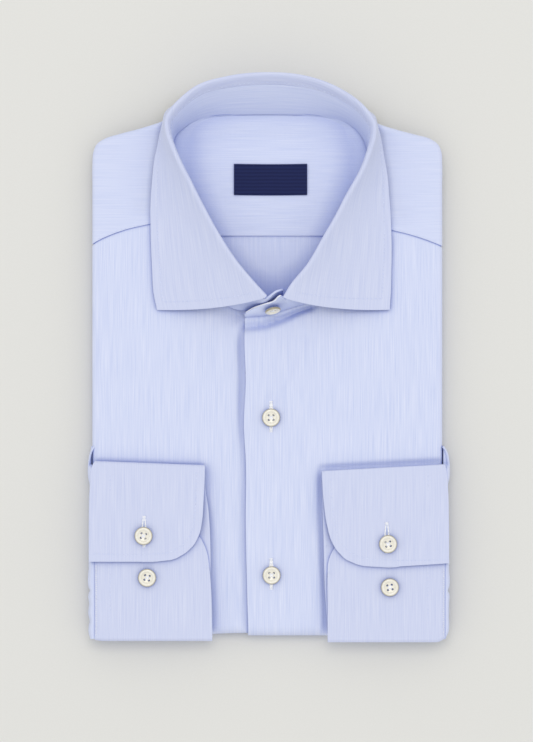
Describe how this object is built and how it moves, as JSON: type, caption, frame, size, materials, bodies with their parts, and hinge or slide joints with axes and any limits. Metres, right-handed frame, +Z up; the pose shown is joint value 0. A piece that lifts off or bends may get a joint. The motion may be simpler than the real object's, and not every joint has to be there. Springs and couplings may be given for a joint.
{
  "type": "folded long sleeve dress shirt",
  "caption": "Folded cotton dress shirt with a standing cutaway collar, plain front and both barrel cuffs turned to the front; lies flat on a shelf or table.",
  "frame": {"origin": "centre of the folded shirt's outline in plan, at the surface that it lies on", "axes": "+X to the right of somebody who looks down at the fronts, which is the wearer's left; +Y towards the collar; +Z up"},
  "size_m": [0.2281, 0.3569, 0.0448],
  "materials": {
    "cloth": "light blue end-on-end cotton with fine irregular stripes, matt with a faint sheen",
    "label": "navy woven damask label, bare",
    "button": "cream resin button like mother of pearl, polished"
  },
  "bodies": {
    "root": {"folded_body": "cloth", "front_right": "cloth", "front_left": "cloth", "yoke_outer": "cloth", "yoke_inner": "cloth", "back_panel": "cloth", "label": "label", "collar_stand": "cloth", "collar_leaf": "cloth", "cuff_right": "cloth", "cuff_left": "cloth", "sleeve_right": "cloth", "sleeve_left": "cloth", "button_front_1": "button", "button_front_2": "button", "button_cuff_right_1": "button", "button_cuff_right_2": "button", "button_cuff_left_1": "button", "button_cuff_left_2": "button", "button_collar": "button"}
  },
  "joints": []
}
